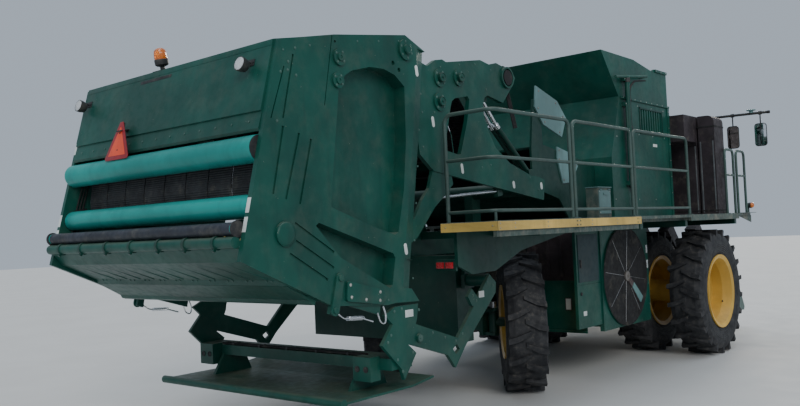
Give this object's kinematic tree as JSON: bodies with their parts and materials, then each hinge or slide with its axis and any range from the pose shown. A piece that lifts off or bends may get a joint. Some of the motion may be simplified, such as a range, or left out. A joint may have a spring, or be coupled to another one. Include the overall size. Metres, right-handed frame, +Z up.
{
  "type": "cotton harvester",
  "caption": "Self-propelled round-module cotton harvester with dual front wheels, accumulator, raised module chamber, gate, cab and picking header.",
  "frame": {"origin": "on the ground, under the middle of the machine's overall box", "axes": "-Y is the driving direction, +X the machine's left side, +Z up"},
  "size_m": [5.2006, 12.0474, 4.5062],
  "materials": {
    "black": "matte",
    "dark_green": "satin",
    "glass": "gloss",
    "green": "gloss",
    "guard_grey": "satin",
    "lamp": "gloss",
    "rail_green": "satin",
    "red_lamp": "gloss",
    "rim_yellow": "satin",
    "screen_mesh": "matte",
    "seat": "matte",
    "steel": "satin",
    "teal": "satin",
    "tyre": "matte"
  },
  "bodies": {
    "machine": {"chassis_frame": "dark_green", "front_axle": "dark_green", "engine_block": "steel", "engine_housing_right": "green", "engine_housing_left": "green", "main_deck": "dark_green", "platform_right": "rail_green", "platform_left": "rail_green", "handrails_right": "rail_green", "handrails_left": "rail_green", "boarding_ladder": "rail_green", "rear_axle": "dark_green", "air_ducts": "black", "accumulator_wall_right": "green", "accumulator_wall_left": "green", "accumulator_rear_wall": "green", "accumulator_front_wall": "green", "accumulator_roof": "dark_green", "cab_floor": "dark_green", "cab_walls": "dark_green", "cab_roof": "green", "cab_glass": "glass", "cab_seat": "seat", "mirrors": "dark_green", "chamber_wall_right": "green", "chamber_wall_left": "green", "chamber_crossbeams": "dark_green", "chamber_belts": "black", "feeder": "dark_green", "guard_plates": "guard_grey", "handler_hangers": "dark_green", "lamp_brackets": "dark_green", "rear_lamps": "red_lamp"},
    "front_wheels_right": {"front_tyres_right": "tyre", "front_rims_right": "rim_yellow"},
    "front_wheels_left": {"front_tyres_left": "tyre", "front_rims_left": "rim_yellow"},
    "rear_knuckle_right": {"knuckle_right": "dark_green"},
    "rear_knuckle_left": {"knuckle_left": "dark_green"},
    "rear_wheel_right": {"rear_tyre_right": "tyre", "rear_rim_right": "rim_yellow"},
    "rear_wheel_left": {"rear_tyre_left": "tyre", "rear_rim_left": "rim_yellow"},
    "tie_rod": {"steering_rod": "steel"},
    "screen": {"rotary_screen": "screen_mesh"},
    "door": {"cab_door": "dark_green", "cab_door_glass": "glass"},
    "header": {"header_frame": "green", "row_units": "green", "row_dividers": "green", "row_ducts": "black"},
    "gate": {"gate_belts": "black", "gate_wall_right": "green", "gate_wall_left": "green", "gate_skin": "green", "gate_rollers": "teal", "gate_lower_panels": "green", "gate_lamps": "lamp"},
    "handler": {"module_handler": "green"}
  },
  "joints": [
    {"name": "front_wheels_right_spin", "type": "hinge", "parent": "machine", "child": "front_wheels_right", "pos_m": [-1, -2.875, 0.95], "axis": [1, 0, 0], "continuous": true},
    {"name": "front_wheels_left_spin", "type": "hinge", "parent": "machine", "child": "front_wheels_left", "pos_m": [1, -2.875, 0.95], "axis": [1, 0, 0], "continuous": true},
    {"name": "steer_right", "type": "hinge", "parent": "machine", "child": "rear_knuckle_right", "pos_m": [-0.7, 1.225, 0.87], "axis": [0, 0, 1], "range_deg": [-78, 2]},
    {"name": "steer_left", "type": "hinge", "parent": "machine", "child": "rear_knuckle_left", "pos_m": [0.7, 1.225, 0.87], "axis": [0, 0, 1], "range_deg": [-78, 2]},
    {"name": "tie_rod_slide", "type": "slide", "parent": "machine", "child": "tie_rod", "axis": [1, 0, 0], "range_m": [-0.0094, 0.2903]},
    {"name": "rear_wheel_right_spin", "type": "hinge", "parent": "rear_knuckle_right", "child": "rear_wheel_right", "pos_m": [-0.7, 1.225, 0.87], "axis": [0.788, 0.6157, 0], "continuous": true},
    {"name": "rear_wheel_left_spin", "type": "hinge", "parent": "rear_knuckle_left", "child": "rear_wheel_left", "pos_m": [0.7, 1.225, 0.87], "axis": [0.788, 0.6157, 0], "continuous": true},
    {"name": "screen_spin", "type": "hinge", "parent": "machine", "child": "screen", "pos_m": [-1.5, -0.945, 1.31], "axis": [1, 0, 0], "continuous": true},
    {"name": "door_hinge", "type": "hinge", "parent": "machine", "child": "door", "pos_m": [0.872, -3.815, 2.9403], "axis": [0, 0, 1], "range_deg": [0, 75]},
    {"name": "header_lift", "type": "hinge", "parent": "machine", "child": "header", "pos_m": [0, -3.975, 1.1903], "axis": [1, 0, 0], "range_deg": [-4, 6]},
    {"name": "gate_hinge", "type": "hinge", "parent": "machine", "child": "gate", "pos_m": [0, 3.78578, 3.85994], "axis": [1, 0, 0], "range_deg": [0, 60]},
    {"name": "handler_lift", "type": "hinge", "parent": "machine", "child": "handler", "pos_m": [0, 2.455, 1.5], "axis": [1, 0, 0], "range_deg": [-5, 0]}
  ],
  "couplings": [
    {"joint": "steer_left", "follows": "steer_right", "ratio": 1},
    {"joint": "tie_rod_slide", "follows": "steer_right", "m_per_rad": -0.21177}
  ]
}
